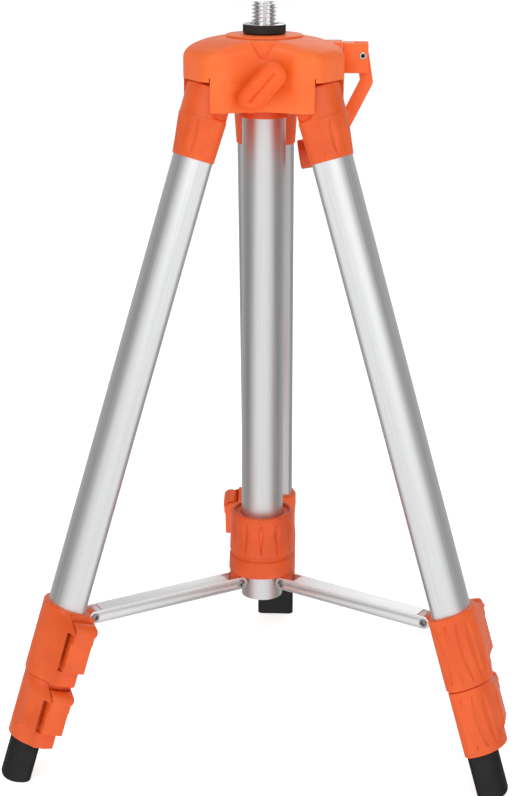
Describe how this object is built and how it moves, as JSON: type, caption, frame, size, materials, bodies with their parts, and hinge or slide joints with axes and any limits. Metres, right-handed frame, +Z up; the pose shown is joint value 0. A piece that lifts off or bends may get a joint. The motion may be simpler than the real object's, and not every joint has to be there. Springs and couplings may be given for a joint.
{
  "type": "laser level tripod",
  "caption": "Folding aluminium tripod with telescopic legs, a geared centre column and a threaded stud for a laser level.",
  "frame": {"origin": "on the floor under the centre of the column", "axes": "+Z up along the column; +Y towards the rear leg; -Y towards the viewer of the front, where the clamp knob is; +X towards the crank"},
  "size_m": [0.3323, 0.2973, 0.4918],
  "materials": {
    "orange_plastic": "moulded, slight sheen",
    "dark_orange_plastic": "moulded, slight sheen",
    "satin_aluminium": "satin anodised, drawn lengthwise",
    "strut_steel": "plated, satin",
    "bright_steel": "bright plated",
    "black_plastic": "matt, finely knurled",
    "black_rubber": "matt"
  },
  "bodies": {
    "crown": {"crown_top": "orange_plastic", "crown_base": "orange_plastic", "column_ring": "dark_orange_plastic", "guide_bush": "black_plastic", "column_tube": "satin_aluminium", "brake_pad": "black_plastic", "crank_block": "orange_plastic", "crank_screw": "bright_steel"},
    "hub": {"hub_cup": "orange_plastic"},
    "lift": {"lift_column": "dark_orange_plastic", "head_plate": "orange_plastic", "mount_stud": "bright_steel"},
    "pinion": {"pinion_shaft": "strut_steel"},
    "nut": {"lock_nut": "black_plastic"},
    "knob": {"lock_knob": "orange_plastic", "knob_screw": "bright_steel"},
    "crank": {"crank_arm": "orange_plastic"},
    "grip": {"crank_handle": "dark_orange_plastic"},
    "rear_strut": {"rear_strut": "strut_steel", "rear_strut_rivets": "bright_steel"},
    "rear_leg": {"rear_socket": "orange_plastic", "rear_hinge_pin": "strut_steel", "rear_upper_tube": "satin_aluminium", "rear_upper_collar": "orange_plastic", "rear_upper_lever_pin": "strut_steel"},
    "rear_mid": {"rear_mid_tube": "satin_aluminium", "rear_mid_collar": "orange_plastic", "rear_mid_lever_pin": "strut_steel"},
    "rear_low": {"rear_low_tube": "satin_aluminium", "rear_foot": "black_rubber"},
    "rear_upper_flip": {"rear_upper_lever": "orange_plastic"},
    "rear_mid_flip": {"rear_mid_lever": "orange_plastic"},
    "left_strut": {"left_strut": "strut_steel", "left_strut_rivets": "bright_steel"},
    "left_leg": {"left_socket": "orange_plastic", "left_hinge_pin": "strut_steel", "left_upper_tube": "satin_aluminium", "left_upper_collar": "orange_plastic", "left_upper_lever_pin": "strut_steel"},
    "left_mid": {"left_mid_tube": "satin_aluminium", "left_mid_collar": "orange_plastic", "left_mid_lever_pin": "strut_steel"},
    "left_low": {"left_low_tube": "satin_aluminium", "left_foot": "black_rubber"},
    "left_upper_flip": {"left_upper_lever": "orange_plastic"},
    "left_mid_flip": {"left_mid_lever": "orange_plastic"},
    "right_strut": {"right_strut": "strut_steel", "right_strut_rivets": "bright_steel"},
    "right_leg": {"right_socket": "orange_plastic", "right_hinge_pin": "strut_steel", "right_upper_tube": "satin_aluminium", "right_upper_collar": "orange_plastic", "right_upper_lever_pin": "strut_steel"},
    "right_mid": {"right_mid_tube": "satin_aluminium", "right_mid_collar": "orange_plastic", "right_mid_lever_pin": "strut_steel"},
    "right_low": {"right_low_tube": "satin_aluminium", "right_foot": "black_rubber"},
    "right_upper_flip": {"right_upper_lever": "orange_plastic"},
    "right_mid_flip": {"right_mid_lever": "orange_plastic"}
  },
  "joints": [
    {"name": "hub_slide", "type": "slide", "parent": "crown", "child": "hub", "axis": [0, 0, 1], "range_m": [0, 0.09353]},
    {"name": "rear_strut_turn", "type": "hinge", "parent": "hub", "child": "rear_strut", "pos_m": [0, 0.0189, 0.1079], "axis": [-1, 0, 0], "range_deg": [-0.5, 86.47]},
    {"name": "rear_leg_turn", "type": "hinge", "parent": "rear_strut", "child": "rear_leg", "pos_m": [0, 0.1262, 0.1053], "axis": [-1, 0, 0], "range_deg": [-69.27, 0.5]},
    {"name": "rear_mid_slide", "type": "slide", "parent": "rear_leg", "child": "rear_mid", "axis": [0, 0.3123, -0.95], "range_m": [0, 0.28]},
    {"name": "rear_low_slide", "type": "slide", "parent": "rear_mid", "child": "rear_low", "axis": [0, 0.3123, -0.95], "range_m": [0, 0.28]},
    {"name": "rear_upper_lever", "type": "hinge", "parent": "rear_leg", "child": "rear_upper_flip", "pos_m": [-0.0278, 0.14685, 0.10893], "axis": [0, 0.95, 0.3123], "range_deg": [0, 105]},
    {"name": "rear_mid_lever", "type": "hinge", "parent": "rear_mid", "child": "rear_mid_flip", "pos_m": [-0.0222, 0.16212, 0.06248], "axis": [0, 0.95, 0.3123], "range_deg": [0, 105]},
    {"name": "left_strut_turn", "type": "hinge", "parent": "hub", "child": "left_strut", "pos_m": [-0.01637, -0.00945, 0.1079], "axis": [0.5, -0.866, 0], "range_deg": [-0.5, 86.47]},
    {"name": "left_leg_turn", "type": "hinge", "parent": "left_strut", "child": "left_leg", "pos_m": [-0.10929, -0.0631, 0.1053], "axis": [0.5, -0.866, 0], "range_deg": [-69.27, 0.5]},
    {"name": "left_mid_slide", "type": "slide", "parent": "left_leg", "child": "left_mid", "axis": [-0.2705, -0.1562, -0.95], "range_m": [0, 0.28]},
    {"name": "left_low_slide", "type": "slide", "parent": "left_mid", "child": "left_low", "axis": [-0.2705, -0.1562, -0.95], "range_m": [0, 0.28]},
    {"name": "left_upper_lever", "type": "hinge", "parent": "left_leg", "child": "left_upper_flip", "pos_m": [-0.11327, -0.0975, 0.10893], "axis": [-0.8227, -0.475, 0.3123], "range_deg": [0, 105]},
    {"name": "left_mid_lever", "type": "hinge", "parent": "left_mid", "child": "left_mid_flip", "pos_m": [-0.1293, -0.10029, 0.06248], "axis": [-0.8227, -0.475, 0.3123], "range_deg": [0, 105]},
    {"name": "right_strut_turn", "type": "hinge", "parent": "hub", "child": "right_strut", "pos_m": [0.01637, -0.00945, 0.1079], "axis": [0.5, 0.866, 0], "range_deg": [-0.5, 86.47]},
    {"name": "right_leg_turn", "type": "hinge", "parent": "right_strut", "child": "right_leg", "pos_m": [0.10929, -0.0631, 0.1053], "axis": [0.5, 0.866, 0], "range_deg": [-69.27, 0.5]},
    {"name": "right_mid_slide", "type": "slide", "parent": "right_leg", "child": "right_mid", "axis": [0.2705, -0.1562, -0.95], "range_m": [0, 0.28]},
    {"name": "right_low_slide", "type": "slide", "parent": "right_mid", "child": "right_low", "axis": [0.2705, -0.1562, -0.95], "range_m": [0, 0.28]},
    {"name": "right_upper_lever", "type": "hinge", "parent": "right_leg", "child": "right_upper_flip", "pos_m": [0.14107, -0.04935, 0.10893], "axis": [0.8227, -0.475, 0.3123], "range_deg": [0, 105]},
    {"name": "right_mid_lever", "type": "hinge", "parent": "right_mid", "child": "right_mid_flip", "pos_m": [0.1515, -0.06184, 0.06248], "axis": [0.8227, -0.475, 0.3123], "range_deg": [0, 105]},
    {"name": "lift_slide", "type": "slide", "parent": "crown", "child": "lift", "axis": [0, 0, 1], "range_m": [0, 0.19]},
    {"name": "pinion_turn", "type": "hinge", "parent": "crown", "child": "pinion", "pos_m": [0, 0.016, 0.4565], "axis": [1, 0, 0], "range_deg": [-1452.49, 1]},
    {"name": "nut_spin", "type": "hinge", "parent": "lift", "child": "nut", "pos_m": [0, 0, 0.47555], "axis": [0, 0, 1], "continuous": true},
    {"name": "knob_turn", "type": "hinge", "parent": "crown", "child": "knob", "pos_m": [0, -0.0388, 0.4443], "axis": [0, -1, 0], "range_deg": [0, 180]},
    {"name": "crank_fold", "type": "hinge", "parent": "crown", "child": "crank", "pos_m": [0.0618, 0.016, 0.4582], "axis": [0, -1, 0], "range_deg": [0, 172]},
    {"name": "grip_spin", "type": "hinge", "parent": "crank", "child": "grip", "pos_m": [0.03464, 0.016, 0.39635], "axis": [-0.9863, 0, -0.165], "continuous": true}
  ],
  "couplings": [
    {"joint": "rear_strut_turn", "follows": "hub_slide", "rad_per_m": 16.099},
    {"joint": "rear_leg_turn", "follows": "hub_slide", "rad_per_m": -12.889},
    {"joint": "left_strut_turn", "follows": "hub_slide", "rad_per_m": 16.099},
    {"joint": "left_leg_turn", "follows": "hub_slide", "rad_per_m": -12.889},
    {"joint": "right_strut_turn", "follows": "hub_slide", "rad_per_m": 16.099},
    {"joint": "right_leg_turn", "follows": "hub_slide", "rad_per_m": -12.889},
    {"joint": "pinion_turn", "follows": "lift_slide", "rad_per_m": -133.33}
  ]
}
